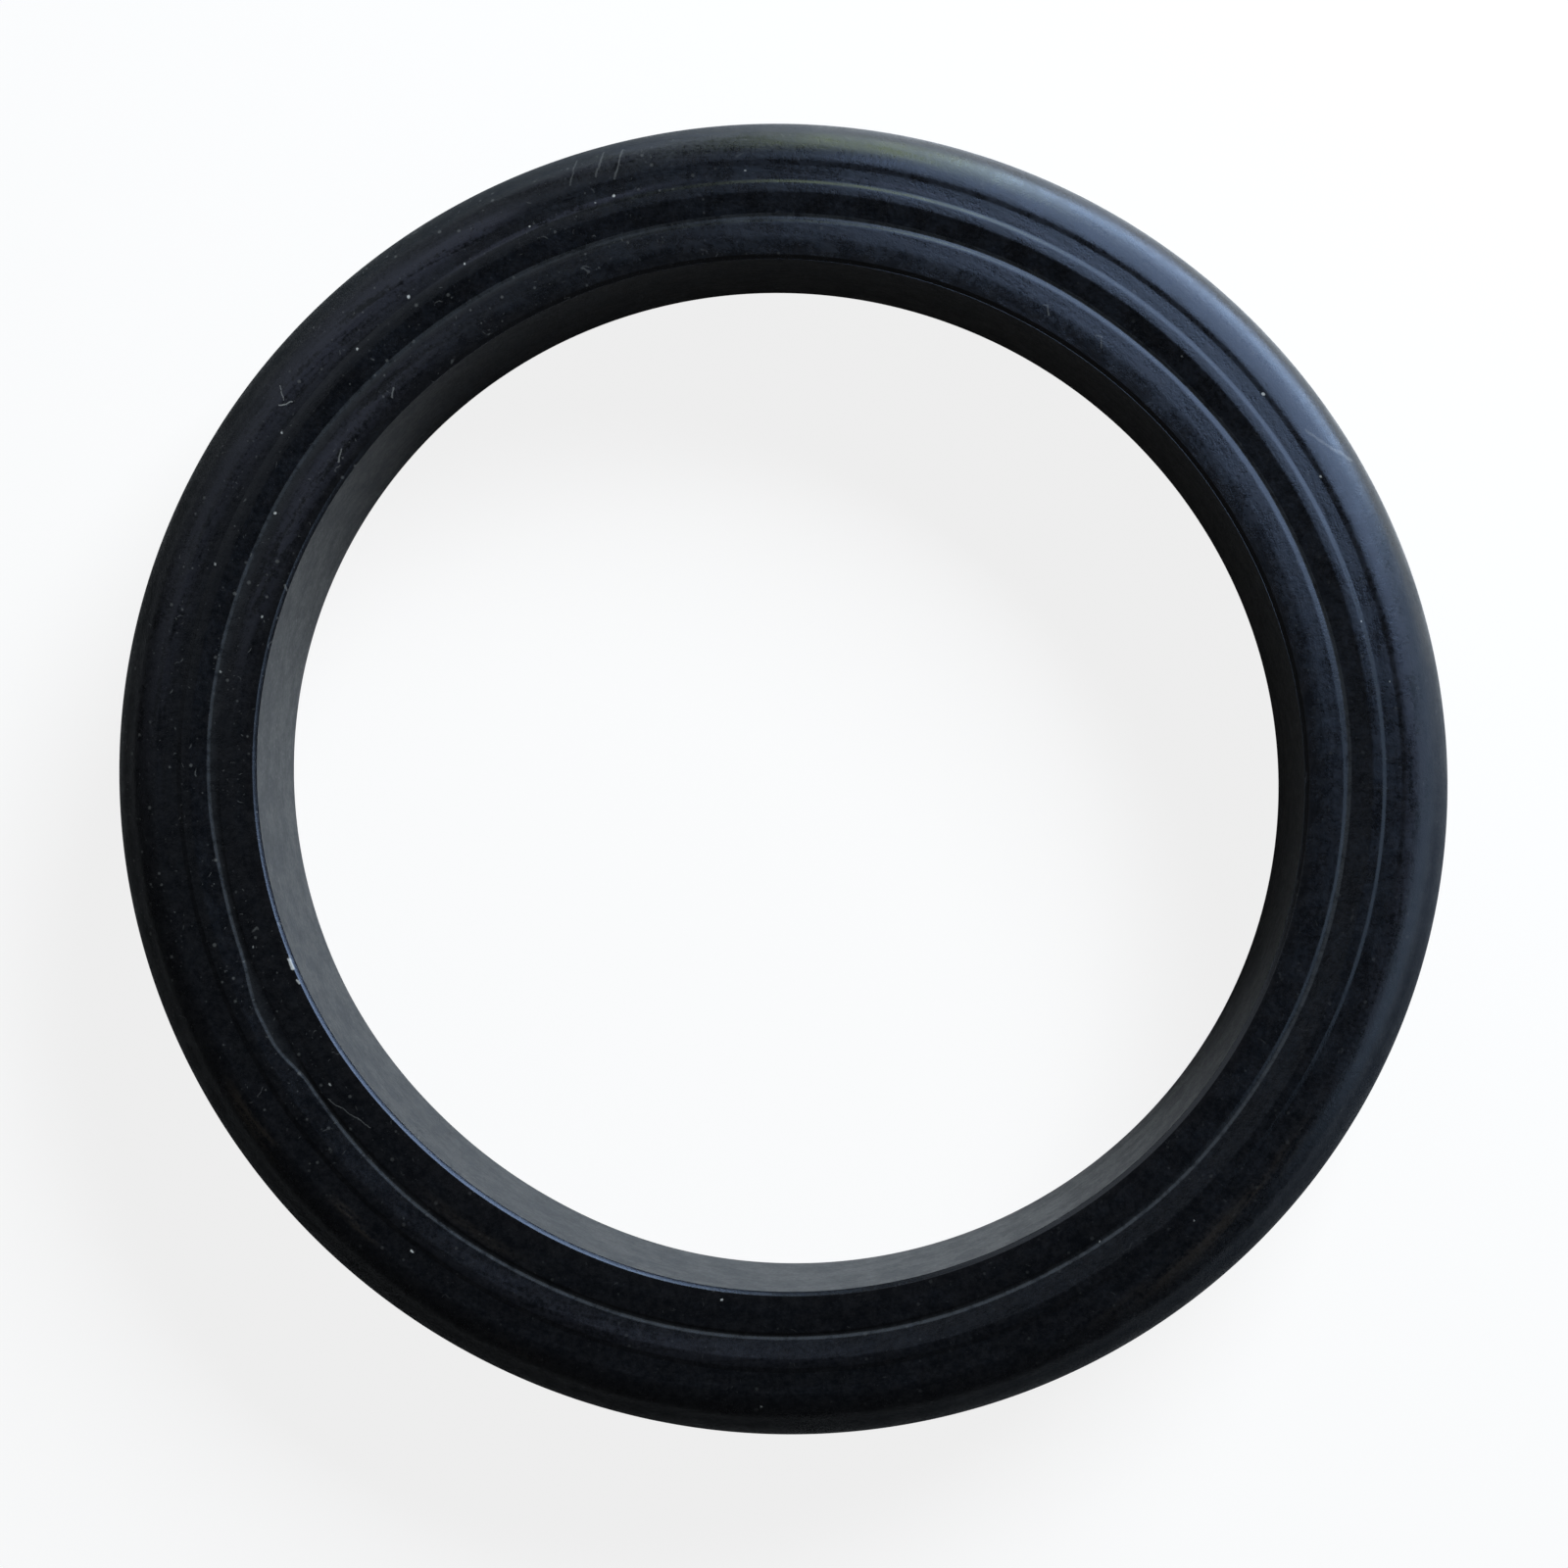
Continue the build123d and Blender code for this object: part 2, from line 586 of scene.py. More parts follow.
place_group, _, place_out = new_group(
    "place_on_ring",
    [],
    [("Place", "vector"), ("Flow", "vector"), ("Angle", "float"), ("Radius", "float")],
)
coordinates = place_group.nodes.new("ShaderNodeTexCoord").outputs["Object"]
in_mm = scaled(place_group, coordinates, 1 / MM)
x, y, z = axes_of(place_group, in_mm)
flat = vector_of(place_group, "MULTIPLY", in_mm, (1, 1, 0)).outputs["Vector"]
radius_mm = vector_of(place_group, "LENGTH", flat).outputs["Value"]
outwards = vector_of(place_group, "NORMALIZE", flat).outputs["Vector"]
turned = math_of(place_group, "DEGREES", math_of(place_group, "ARCTAN2", y, x))
across = place_group.nodes.new("ShaderNodeCombineXYZ")
feed(place_group, across.inputs["X"], math_of(place_group, "MULTIPLY", radius_mm, FLOW_ACROSS))
feed(place_group, across.inputs["Z"], math_of(place_group, "MULTIPLY", z, FLOW_ACROSS))
round_way = scaled(place_group, outwards, FLOW_ROUND)
flow = vector_of(place_group, "ADD", round_way, across.outputs[0]).outputs["Vector"]
feed(place_group, place_out["Place"], in_mm)
feed(place_group, place_out["Flow"], flow)
feed(place_group, place_out["Angle"], math_of(place_group, "FLOORED_MODULO", turned, FULL_TURN))
feed(place_group, place_out["Radius"], radius_mm)
print("nodes in", place_group.name, len(place_group.nodes))

# %% [markdown]
# The rubber's skin is uneven at several sizes at once. Five noises are used: a slow cloud that varies the
# gloss over the whole ring, a mottle, a fine mottle, the grain of the rubber itself, and the streaks. The
# group blends them into what a skin needs: where it is worn, how rough it is, and its height for the
# bump.

# %% Group: skin of the rubber
# Scale, detail and roughness of each noise
NOISES = {
    "cloud": (0.33, 3.0, 0.65),
    "mottle": (0.9, 4.0, 0.65),
    "fine": (2.3, 3.0, 0.7),
    "grain": (6.0, 1.0, 0.5),
}
STREAKS = (1.0, 4.0, 0.6)
# Share of each noise in the height
RELIEF = {"grain": 0.06, "fine": 0.2, "streak": 0.2}
FINE_IN_WORN = 0.6
WORN_RANGE = (0.6, 1.05)
STREAK_RANGE = (0.25, 0.75)
# Noise from, noise to, and what is added to the roughness at each
FINE_ROUGHNESS = (0.3, 0.7, -0.05, 0.05)
CLOUD_ROUGHNESS = (0.35, 0.65, -0.04, 0.06)

skin_group, skin_in, skin_out = new_group(
    "rubber_skin",
    [("Place", "vector"), ("Flow", "vector"), ("Roughness", "float"), ("Streak Depth", "float")],
    [(name, "float") for name in ("Cloud", "Mottle", "Fine", "Streak", "Worn", "Roughness", "Height")],
)
noises = {name: noise_of(skin_group, skin_in["Place"], *look)["Fac"] for name, look in NOISES.items()}
noises["streak"] = noise_of(skin_group, skin_in["Flow"], *STREAKS)["Fac"]
for name in ("cloud", "mottle", "fine", "streak"):
    feed(skin_group, skin_out[name.capitalize()], noises[name])

some_fine = math_of(skin_group, "MULTIPLY", noises["fine"], FINE_IN_WORN)
worn_noise = math_of(skin_group, "ADD", noises["mottle"], some_fine)
feed(skin_group, skin_out["Worn"], between(skin_group, worn_noise, *WORN_RANGE))

shallow = math_of(skin_group, "MULTIPLY", skin_in["Streak Depth"], -1.0)
rough = between(skin_group, noises["streak"], *STREAK_RANGE, shallow, skin_in["Streak Depth"])
rough = math_of(skin_group, "ADD", rough, skin_in["Roughness"])
rough = math_of(skin_group, "ADD", rough, between(skin_group, noises["fine"], *FINE_ROUGHNESS))
rough = math_of(skin_group, "ADD", rough, between(skin_group, noises["cloud"], *CLOUD_ROUGHNESS))
feed(skin_group, skin_out["Roughness"], rough)

relief = [math_of(skin_group, "MULTIPLY", noises[name], share) for name, share in RELIEF.items()]
coarse = math_of(skin_group, "ADD", relief[0], relief[1])
feed(skin_group, skin_out["Height"], math_of(skin_group, "ADD", coarse, relief[2]))
print("nodes in", skin_group.name, len(skin_group.nodes))

# %% [markdown]
# Loose dust is a scatter of tiny pale dots. A Voronoi texture gives one dot to each cell, and the cell's
# own random colour decides whether its dot is there at all and how big it is.

# %% Group: scattered dust
SMALLEST_DOT = 0.35
DOT_CORE = 0.4

dust_group, dust_in, dust_out = new_group(
    "scattered_dust",
    [("Place", "vector"), ("Cells", "float"), ("Share", "float"), ("Size", "float")],
    [("Dots", "float")],
)
cells = dust_group.nodes.new("ShaderNodeTexVoronoi")
feed(dust_group, cells.inputs["Vector"], dust_in["Place"])
feed(dust_group, cells.inputs["Scale"], dust_in["Cells"])
chance = axes_of(dust_group, cells.outputs["Color"])
present = math_of(dust_group, "LESS_THAN", chance["X"], dust_in["Share"])
spread = math_of(dust_group, "ADD", chance["Y"], SMALLEST_DOT)
grown = math_of(dust_group, "MULTIPLY", dust_in["Size"], spread)
core = math_of(dust_group, "MULTIPLY", grown, DOT_CORE)
dot = between(dust_group, cells.outputs["Distance"], grown, core)
feed(dust_group, dust_out["Dots"], math_of(dust_group, "MULTIPLY", dot, present))
print("nodes in", dust_group.name, len(dust_group.nodes))

# %% [markdown]
# Fluff and short scuffs are drawn out along one way. The same dust is placed in a space that is squeezed
# along its length, and a slow noise bends that space so that no two strokes are parallel.

# %% Group: short strokes
BEND_SCALE = 0.35
BEND_REACH = 5.0
STROKE_CELLS = 1.0
STROKE_SIZE = 0.17

strokes_group, strokes_in, strokes_out = new_group(
    "short_strokes",
    [("Place", "vector"), ("Squeeze", "vector"), ("Share", "float")],
    [("Strokes", "float")],
)
bend = noise_of(strokes_group, strokes_in["Place"], BEND_SCALE)["Color"]
bent = scaled(strokes_group, bend, BEND_REACH)
moved = vector_of(strokes_group, "ADD", strokes_in["Place"], bent).outputs["Vector"]
squeezed = vector_of(strokes_group, "MULTIPLY", moved, strokes_in["Squeeze"]).outputs["Vector"]
values = {"Place": squeezed, "Cells": STROKE_CELLS, "Share": strokes_in["Share"], "Size": STROKE_SIZE}
feed(strokes_group, strokes_out["Strokes"], use_group(strokes_group, dust_group, **values)["Dots"])
print("nodes in", strokes_group.name, len(strokes_group.nodes))

# %% [markdown]
# What has settled on the ring is coarse dust, fine dust and strokes that lie lengthwise and crosswise.
# There is more of it on one side, so the group fades it by the angle.

# %% Group: settled dust
DUSTY_SIDE = 160.0
DUSTY_REACH = (30.0, 85.0)
CLEAN_SHARE = 0.25
# Cells, share of cells with a dot, size, and how much the dots show
DUSTS = [(0.9, 0.35, 0.19, 0.12), (1.9, 0.35, 0.2, 0.05)]
LENGTHWISE = (0.5, 1.9, 1.0)
CROSSWISE = (2.1, 0.6, 1.0)
STROKE_SHARE = 0.25
STROKES_SHOW = 0.11


def angle_from(tree, angle, side):
    """How many degrees a place lies from one side of the ring, from 0 to 180."""
    return math_of(tree, "PINGPONG", math_of(tree, "SUBTRACT", angle, side), HALF_TURN)


settled_group, settled_in, settled_out = new_group(
    "settled_dust",
    [("Place", "vector"), ("Angle", "float")],
    [("Specks", "float")],
)
settled = 0.0
for cell_count, share, size, shows in DUSTS:
    values = {"Place": settled_in["Place"], "Cells": cell_count, "Share": share, "Size": size}
    dots = use_group(settled_group, dust_group, **values)["Dots"]
    settled = math_of(settled_group, "MAXIMUM", math_of(settled_group, "MULTIPLY", dots, shows), settled)
for squeeze in (LENGTHWISE, CROSSWISE):
    values = {"Place": settled_in["Place"], "Squeeze": squeeze, "Share": STROKE_SHARE}
    strokes = use_group(settled_group, strokes_group, **values)["Strokes"]
    faint = math_of(settled_group, "MULTIPLY", strokes, STROKES_SHOW)
    settled = math_of(settled_group, "MAXIMUM", faint, settled)
from_dusty = angle_from(settled_group, settled_in["Angle"], DUSTY_SIDE)
dusty = between(settled_group, from_dusty, *DUSTY_REACH, 1.0, CLEAN_SHARE)
feed(settled_group, settled_out["Specks"], math_of(settled_group, "MULTIPLY", settled, dusty))
print("nodes in", settled_group.name, len(settled_group.nodes))

# %% [markdown]
# Scratches, hairs and single grains are marks from one point to another. The group measures how far the
# surface lies from the line between the two points, so a grain is simply a very short line.

# %% Group: one mark
MARK_CORE = 0.3

mark_group, mark_in, mark_out = new_group(
    "one_mark",
    [("Place", "vector"), ("From", "vector"), ("To", "vector"), ("Width", "float"), ("Strength", "float")],
    [("Mark", "float")],
)
flat_place = vector_of(mark_group, "MULTIPLY", mark_in["Place"], (1, 1, 0)).outputs["Vector"]
line = vector_of(mark_group, "SUBTRACT", mark_in["To"], mark_in["From"]).outputs["Vector"]
reach = vector_of(mark_group, "SUBTRACT", flat_place, mark_in["From"]).outputs["Vector"]
along = vector_of(mark_group, "DOT_PRODUCT", reach, line).outputs["Value"]
length = vector_of(mark_group, "DOT_PRODUCT", line, line).outputs["Value"]
clamped = mark_group.nodes.new("ShaderNodeClamp")
feed(mark_group, clamped.inputs["Value"], math_of(mark_group, "DIVIDE", along, length))
nearest = scaled(mark_group, line, clamped.outputs[0])
away = vector_of(mark_group, "DISTANCE", reach, nearest).outputs["Value"]
core = math_of(mark_group, "MULTIPLY", mark_in["Width"], MARK_CORE)
near_line = between(mark_group, away, mark_in["Width"], core)
feed(mark_group, mark_out["Mark"], math_of(mark_group, "MULTIPLY", near_line, mark_in["Strength"]))
print("nodes in", mark_group.name, len(mark_group.nodes))

# %% [markdown]
# The marks that can be told apart are listed: the angle in degrees and the radius in millimetres
# at each end, the width in millimetres and the strength. They lie on the upper side only. Grains of dust
# come first.

# %% Where the grains are
# Angle, radius, width, strength
grains = [
    (37.9, 63.5, 0.2, 1.0),
    (28.6, 63.7, 0.15, 0.7),
    (45.8, 59.9, 0.12, 0.35),
    (14.5, 62.05, 0.1, 0.5),
    (8.5, 63.6, 0.1, 0.5),
    (93.0, 62.7, 0.12, 0.6),
    (105.8, 62.4, 0.17, 0.9),
    (107.6, 62.3, 0.12, 0.5),
    (114.3, 62.5, 0.14, 0.7),
    (121.5, 62.3, 0.16, 0.9),
    (127.7, 62.8, 0.22, 1.0),
    (134.6, 62.2, 0.19, 0.9),
    (145.4, 62.7, 0.16, 0.8),
    (152.5, 59.2, 0.2, 1.0),
    (159.5, 62.6, 0.16, 0.6),
    (163.0, 56.2, 0.17, 0.6),
    (169.5, 59.1, 0.16, 0.5),
    (198.2, 57.5, 0.12, 0.5),
    (214.8, 56.6, 0.14, 0.6),
    (232.6, 62.3, 0.2, 1.0),
    (264.0, 54.7, 0.15, 0.8),
    (268.6, 65.3, 0.12, 0.4),
    (304.5, 58.5, 0.1, 0.4),
    (313.0, 62.8, 0.1, 0.4),
]
print(len(grains), "grains")

# %% [markdown]
# Scratches follow: a few across the shoulder at the top, small crooked ones on both sides, and one long
# hair by the kink in the lip. A bent scratch is two marks that share an end. The last two are the pale
# chips of the nick in the bore's edge.

# %% Where the scratches are
# Angle and radius at one end, angle and radius at the other, width, strength
scratches = [
    (108.1, 67.5, 109.4, 65.0, 0.14, 0.07),
    (105.6, 67.5, 106.3, 66.0, 0.13, 0.085),
    (106.3, 66.0, 106.9, 64.9, 0.13, 0.085),
    (103.9, 67.2, 104.4, 65.9, 0.14, 0.095),
    (104.4, 65.9, 105.3, 64.1, 0.14, 0.095),
    (143.4, 64.6, 142.6, 63.8, 0.1, 0.4),
    (142.0, 65.9, 142.8, 64.6, 0.08, 0.3),
    (143.2, 56.7, 144.6, 56.2, 0.12, 0.25),
    (134.8, 56.9, 135.6, 56.2, 0.12, 0.2),
    (159.0, 55.1, 159.6, 54.6, 0.14, 0.15),
    (28.6, 67.6, 30.4, 66.2, 0.26, 0.1),
    (30.4, 66.2, 32.9, 64.9, 0.2, 0.08),
    (52.7, 55.4, 53.3, 56.3, 0.1, 0.12),
    (53.3, 56.3, 53.9, 56.0, 0.1, 0.1),
    (59.3, 55.2, 59.9, 56.0, 0.1, 0.14),
    (59.9, 56.0, 60.4, 55.8, 0.1, 0.1),
    (215.9, 57.7, 221.0, 56.0, 0.06, 0.16),
    (200.8, 54.4, 201.9, 54.45, 0.25, 1.0),
    (203.2, 54.4, 203.6, 54.4, 0.18, 0.7),
]
print(len(scratches), "scratches")

# %% [markdown]
# All the marks go into one group. Straight lines would look ruled, so the place is first moved about by a
# small noise and every scratch wavers a little.

# %% Group: all grains and scratches
GRAIN_TURN = 0.05
WAVER_SCALE = 0.9
WAVER_REACH = 0.5
NOISE_MIDDLE = (0.5, 0.5, 0.5)


def on_ring(degrees, radius):
    """A point on the upper side, in millimetres."""
    turn = math.radians(degrees)
    return (radius * math.cos(turn), radius * math.sin(turn), 0)


marks_group, marks_in, marks_out = new_group("all_marks", [("Place", "vector")], [("Marks", "float")])
waver = noise_of(marks_group, marks_in["Place"], WAVER_SCALE)["Color"]
centred = vector_of(marks_group, "SUBTRACT", waver, NOISE_MIDDLE).outputs["Vector"]
sway = scaled(marks_group, centred, WAVER_REACH)
wavering = vector_of(marks_group, "ADD", marks_in["Place"], sway).outputs["Vector"]

marks = [(on_ring(a, r), on_ring(a + GRAIN_TURN, r), w, s) for a, r, w, s in grains]
marks += [(on_ring(a, r), on_ring(b, q), w, s) for a, r, b, q, w, s in scratches]
total = 0.0
for start, end, width, strength in marks:
    values = {"Place": wavering, "From": start, "To": end, "Width": width, "Strength": strength}
    total = math_of(marks_group, "MAXIMUM", use_group(marks_group, mark_group, **values)["Mark"], total)
height_above = axes_of(marks_group, marks_in["Place"])["Z"]
upper = math_of(marks_group, "GREATER_THAN", height_above, mid_plane / MM)
feed(marks_group, marks_out["Marks"], math_of(marks_group, "MULTIPLY", total, upper))
print("marks", len(marks), "in", marks_group.name)

# %% [markdown]
# A soft patch is a long patch that follows the ring. The group fades it out by angle and by radius. It
# makes the brown wipes and pale bloom, and with them painted sheen and a painted reflection.

# %% Group: one soft patch
soft_patch_group, soft_patch_in, soft_patch_out = new_group(
    "one_soft_patch",
    [
        ("Angle", "float"),
        ("Radius", "float"),
        ("At Angle", "float"),
        ("Half Angle", "float"),
        ("At Radius", "float"),
        ("Half Width", "float"),
        ("Strength", "float"),
    ],
    [("Patch", "float")],
)
angle_gap = angle_from(soft_patch_group, soft_patch_in["Angle"], soft_patch_in["At Angle"])
radius_gap = math_of(soft_patch_group, "SUBTRACT", soft_patch_in["Radius"], soft_patch_in["At Radius"])
radius_gap = math_of(soft_patch_group, "ABSOLUTE", radius_gap)
by_angle = between(soft_patch_group, angle_gap, soft_patch_in["Half Angle"], 0.0)
by_radius = between(soft_patch_group, radius_gap, soft_patch_in["Half Width"], 0.0)
both = math_of(soft_patch_group, "MULTIPLY", by_angle, by_radius)
feed(soft_patch_group, soft_patch_out["Patch"], math_of(soft_patch_group, "MULTIPLY", both, soft_patch_in["Strength"]))
print("nodes in", soft_patch_group.name, len(soft_patch_group.nodes))

# %% [markdown]
# Two kinds of patch are placed with it. Smears are brown, like rust or oil wiped off by a rag; the one on
# the clamping flat at 236 degrees is a painted reflection of something warm. Hazes are partly the thin pale
# bloom that rubber gets with age and partly painted sheen: their pale bluish colour stands in for the
# windows' light on the shoulder.

# %% Groups: all brown patches and all pale patches, with their painted reflection and sheen
# Angle, half angle, radius, half width, strength
smears_and_reflection = [
    (213.8, 6.0, 65.5, 1.3, 1.8),
    (226.5, 4.5, 63.8, 0.9, 1.4),
    (245.0, 6.0, 65.4, 0.8, 0.5),
    (314.0, 20.0, 65.2, 1.5, 0.8),
    # Painted reflection of something warm, on the clamping flat
    (236.0, 10.0, 56.9, 0.9, 0.6),
]
# Pale patches: the bloom of aged rubber, and partly painted sheen of the windows
hazes_and_sheen = [
    (62.0, 42.0, 66.8, 3.2, 0.6),
    (95.0, 30.0, 66.4, 2.6, 0.8),
    (112.0, 17.0, 62.3, 0.4, 2.0),
    (121.0, 9.0, 64.6, 1.2, 1.6),
    (134.0, 22.0, 64.8, 3.4, 1.1),
    (160.0, 28.0, 65.4, 2.8, 0.6),
    (72.0, 24.0, 62.1, 0.35, 1.0),
    (146.0, 34.0, 57.2, 2.2, 1.1),
    (8.0, 26.0, 65.6, 2.4, 0.6),
    (345.0, 22.0, 65.8, 2.2, 0.4),
    (255.0, 40.0, 60.0, 2.2, 0.35),
    (60.0, 60.0, 56.8, 1.6, 0.3),
]


def patches_group(name, patches):
    """A group that adds up all the soft patches of one kind."""
    places = [("Angle", "float"), ("Radius", "float")]
    tree, patch_in, patch_out = new_group(name, places, [("Patches", "float")])
    total = 0.0
    for angle, half_angle, radius, half_width, strength in patches:
        values = {
            "Angle": patch_in["Angle"],
            "Radius": patch_in["Radius"],
            "At Angle": angle,
            "Half Angle": half_angle,
            "At Radius": radius,
            "Half Width": half_width,
            "Strength": strength,
        }
        total = math_of(tree, "ADD", use_group(tree, soft_patch_group, **values)["Patch"], total)
    feed(tree, patch_out["Patches"], total)
    return tree


smears_and_reflection_group = patches_group("all_smears_and_reflection", smears_and_reflection)
hazes_and_sheen_group = patches_group("all_hazes_and_sheen", hazes_and_sheen)
print(len(smears_and_reflection), "smears and", len(hazes_and_sheen), "hazes_and_sheen")

# %% [markdown]
# Soot-filled rubber has a dark body with the faintest blue in it, and a skin that spreads the light by
# its roughness. Both rubbers start alike: the place, the skin, a body colour that is a little lighter
# where it is worn, and a bump. Each then gets its own finish, and is closed with its dust, its roughness
# and its polish.
#
# The shader stays in the material. Its specular level is the same all over, so it is set on its own
# socket. What changes from place to place, the extra polish, goes into the weight of a thin coat.

# %% Start and finish of a rubber
PALE_DUST = (0.42, 0.43, 0.42, 1)
DUST_ROUGHNESS = 0.7
bump_depth = 0.12 * MM


def mix_colour(tree, share, first, second):
    """Mix two colours by a share."""
    node = tree.nodes.new("ShaderNodeMix")
    node.data_type = "RGBA"
    feed(tree, node.inputs["Factor"], share)
    feed(tree, node.inputs["A"], first)
    feed(tree, node.inputs["B"], second)
    return node.outputs["Result"]


def start_rubber(name, body, worn, roughness, streak_depth):
    """A rubber with its bump. Returns the material, its place and skin, and its colour so far."""
    material = bpy.data.materials.new(name)
    material.use_nodes = True
    tree = material.node_tree
    place = use_group(tree, place_group)
    values = {
        "Place": place["Place"],
        "Flow": place["Flow"],
        "Roughness": roughness,
        "Streak Depth": streak_depth,
    }
    skin = use_group(tree, skin_group, **values)
    bump = tree.nodes.new("ShaderNodeBump")
    bump.inputs["Strength"].default_value = 1.0
    bump.inputs["Distance"].default_value = bump_depth
    feed(tree, bump.inputs["Height"], skin["Height"])
    feed(tree, tree.nodes["Principled BSDF"].inputs["Normal"], bump.outputs["Normal"])
    return material, place, skin, mix_colour(tree, skin["Worn"], body, worn)


def finish_rubber(material, colour, pale, roughness, polish, coat_roughness, specular):
    """Lay the pale dust over the colour and close the shader."""
    tree = material.node_tree
    surface = tree.nodes["Principled BSDF"].inputs
    dusty_roughness = math_of(tree, "MULTIPLY", pale, DUST_ROUGHNESS)
    feed(tree, surface["Base Color"], mix_colour(tree, pale, colour, PALE_DUST))
    feed(tree, surface["Roughness"], math_of(tree, "MAXIMUM", roughness, dusty_roughness))
    feed(tree, surface["Coat Weight"], polish)
    surface["Coat Roughness"].default_value = coat_roughness
    surface["Specular IOR Level"].default_value = specular
    mesh.materials.append(material)
    print(material.name, "has", len(tree.nodes), "nodes of its own")


print("rubber helpers ready")

# %% [markdown]
# The outer rubber is satin. Each kind of patch is broken into strokes, as a rag leaves its wipes, so it is
# multiplied by a mask cut out of the streaks and the fine mottle. The hazes carry painted sheen and one
# smear a painted reflection.

# %% Outer rubber: body, pale patches with painted sheen, brown patches with a painted reflection
OUTER_BODY = (0.0013, 0.0018, 0.0029, 1)
OUTER_WORN = (0.0058, 0.006, 0.0072, 1)
OUTER_ROUGHNESS = 0.3
OUTER_STREAKS = 0.04
# Pale bluish colour of the hazes, partly painted sheen of the windows
HAZE_AND_SHEEN = (0.018, 0.0185, 0.025, 1)
# Brown of the smears, also used for the painted reflection on the clamping flat
BROWN_WIPE_AND_REFLECTION = (0.018, 0.015, 0.0125, 1)
# Share of the fine mottle, and where in the noise a stroke starts and is full
HAZE_AND_SHEEN_BREAK = (0.6, 0.62, 0.88)
SMEAR_AND_REFLECTION_BREAK = (0.5, 0.62, 0.9)


def broken_up(tree, skin, fine_share, low, high):
    """A mask of broken strokes that follow the ring."""
    rough_noise = math_of(tree, "MULTIPLY", skin["Fine"], fine_share)
    return between(tree, math_of(tree, "ADD", rough_noise, skin["Streak"]), low, high)


look = (OUTER_BODY, OUTER_WORN, OUTER_ROUGHNESS, OUTER_STREAKS)
outer_rubber, place, skin, colour = start_rubber("moulded_rubber", *look)
tree = outer_rubber.node_tree
patch_place = {"Angle": place["Angle"], "Radius": place["Radius"]}
# Painted sheen and a painted reflection go into the colour here, along with the bloom and the brown wipes
for group, tint, mask in (
    (hazes_and_sheen_group, HAZE_AND_SHEEN, broken_up(tree, skin, *HAZE_AND_SHEEN_BREAK)),
    (smears_and_reflection_group, BROWN_WIPE_AND_REFLECTION, broken_up(tree, skin, *SMEAR_AND_REFLECTION_BREAK)),
):
    patches = use_group(tree, group, **patch_place)["Patches"]
    colour = mix_colour(tree, math_of(tree, "MULTIPLY", patches, mask), colour, tint)
print("wipes laid on", outer_rubber.name)

# %% [markdown]
# Along the parting lip the flash was torn off, and torn rubber is paler than moulded rubber. The stored
# value "lip" says where, and the mottle breaks it up. The value "edge" marks the bore's edge, which is
# rubbed smooth by the hub. The value "outer" marks the outside, which is buffed dull but for the side
# that faces the window.

# %% Outer rubber: torn lip, rubbed edge and buffed outside
TORN_LIP = (0.028, 0.031, 0.035, 1)
TORN_BREAK = (0.3, 0.55, 0.3, 1.0)
WINDOW_SIDE = 50.0
BUFFED_REACH = (25.0, 68.0)
BUFFED_ROUGHER = 0.6
RUBBED_SMOOTHER = 0.12
OUTER_POLISH_ROUGHNESS = 0.22
OUTER_SPECULAR = 0.5


def stored(tree, name):
    """A value that was stored on the ring's points."""
    node = tree.nodes.new("ShaderNodeAttribute")
    node.attribute_name = name
    return node.outputs["Fac"]


torn_patches = between(tree, skin["Mottle"], *TORN_BREAK)
colour = mix_colour(tree, math_of(tree, "MULTIPLY", stored(tree, "lip"), torn_patches), colour, TORN_LIP)

away_from_window = between(tree, angle_from(tree, place["Angle"], WINDOW_SIDE), *BUFFED_REACH)
buffed = math_of(tree, "MULTIPLY", stored(tree, "outer"), away_from_window)
rubbed = stored(tree, "edge")
rougher = math_of(tree, "MULTIPLY", buffed, BUFFED_ROUGHER)
smoother = math_of(tree, "MULTIPLY", rubbed, RUBBED_SMOOTHER)
roughness = math_of(tree, "ADD", skin["Roughness"], rougher)
roughness = math_of(tree, "SUBTRACT", roughness, smoother)

marks = use_group(tree, marks_group, Place=place["Place"])["Marks"]
specks = use_group(tree, settled_group, Place=place["Place"], Angle=place["Angle"])["Specks"]
pale = math_of(tree, "MAXIMUM", marks, specks)
finish_rubber(outer_rubber, colour, pale, roughness, rubbed, OUTER_POLISH_ROUGHNESS, OUTER_SPECULAR)

# %% [markdown]
# The bore wall is duller and has no single marks. On the side of the window its colour is mixed towards
# near black: this is painted shade, which deepens the dark of that side. On the far side it keeps its
# bluer colour and has more polish. The cloud keeps the painted shade from ending in a straight line.

# %% Bore rubber
BORE_BODY = (0.0042, 0.0062, 0.0086, 1)
BORE_WORN = (0.0098, 0.0138, 0.0186, 1)
BORE_ROUGHNESS = 0.48
BORE_STREAKS = 0.02
BORE_SPECULAR = 0.27
# Near-black colour of the painted shade on the window side of the bore
PAINTED_SHADE = (0.0014, 0.0011, 0.0008, 1)
# Degrees from the window, or noise: from, to, and the share at each
UNSHADED_BY_SIDE = (80.0, 150.0, 0.45, 1.0)
UNSHADED_BY_CLOUD = (0.35, 0.65, 0.72, 1.0)
POLISH_BY_SIDE = (80.0, 150.0, 0.0, 0.3)

look = (BORE_BODY, BORE_WORN, BORE_ROUGHNESS, BORE_STREAKS)
bore_rubber, place, skin, colour = start_rubber("bore_rubber", *look)
tree = bore_rubber.node_tree
from_window = angle_from(tree, place["Angle"], WINDOW_SIDE)
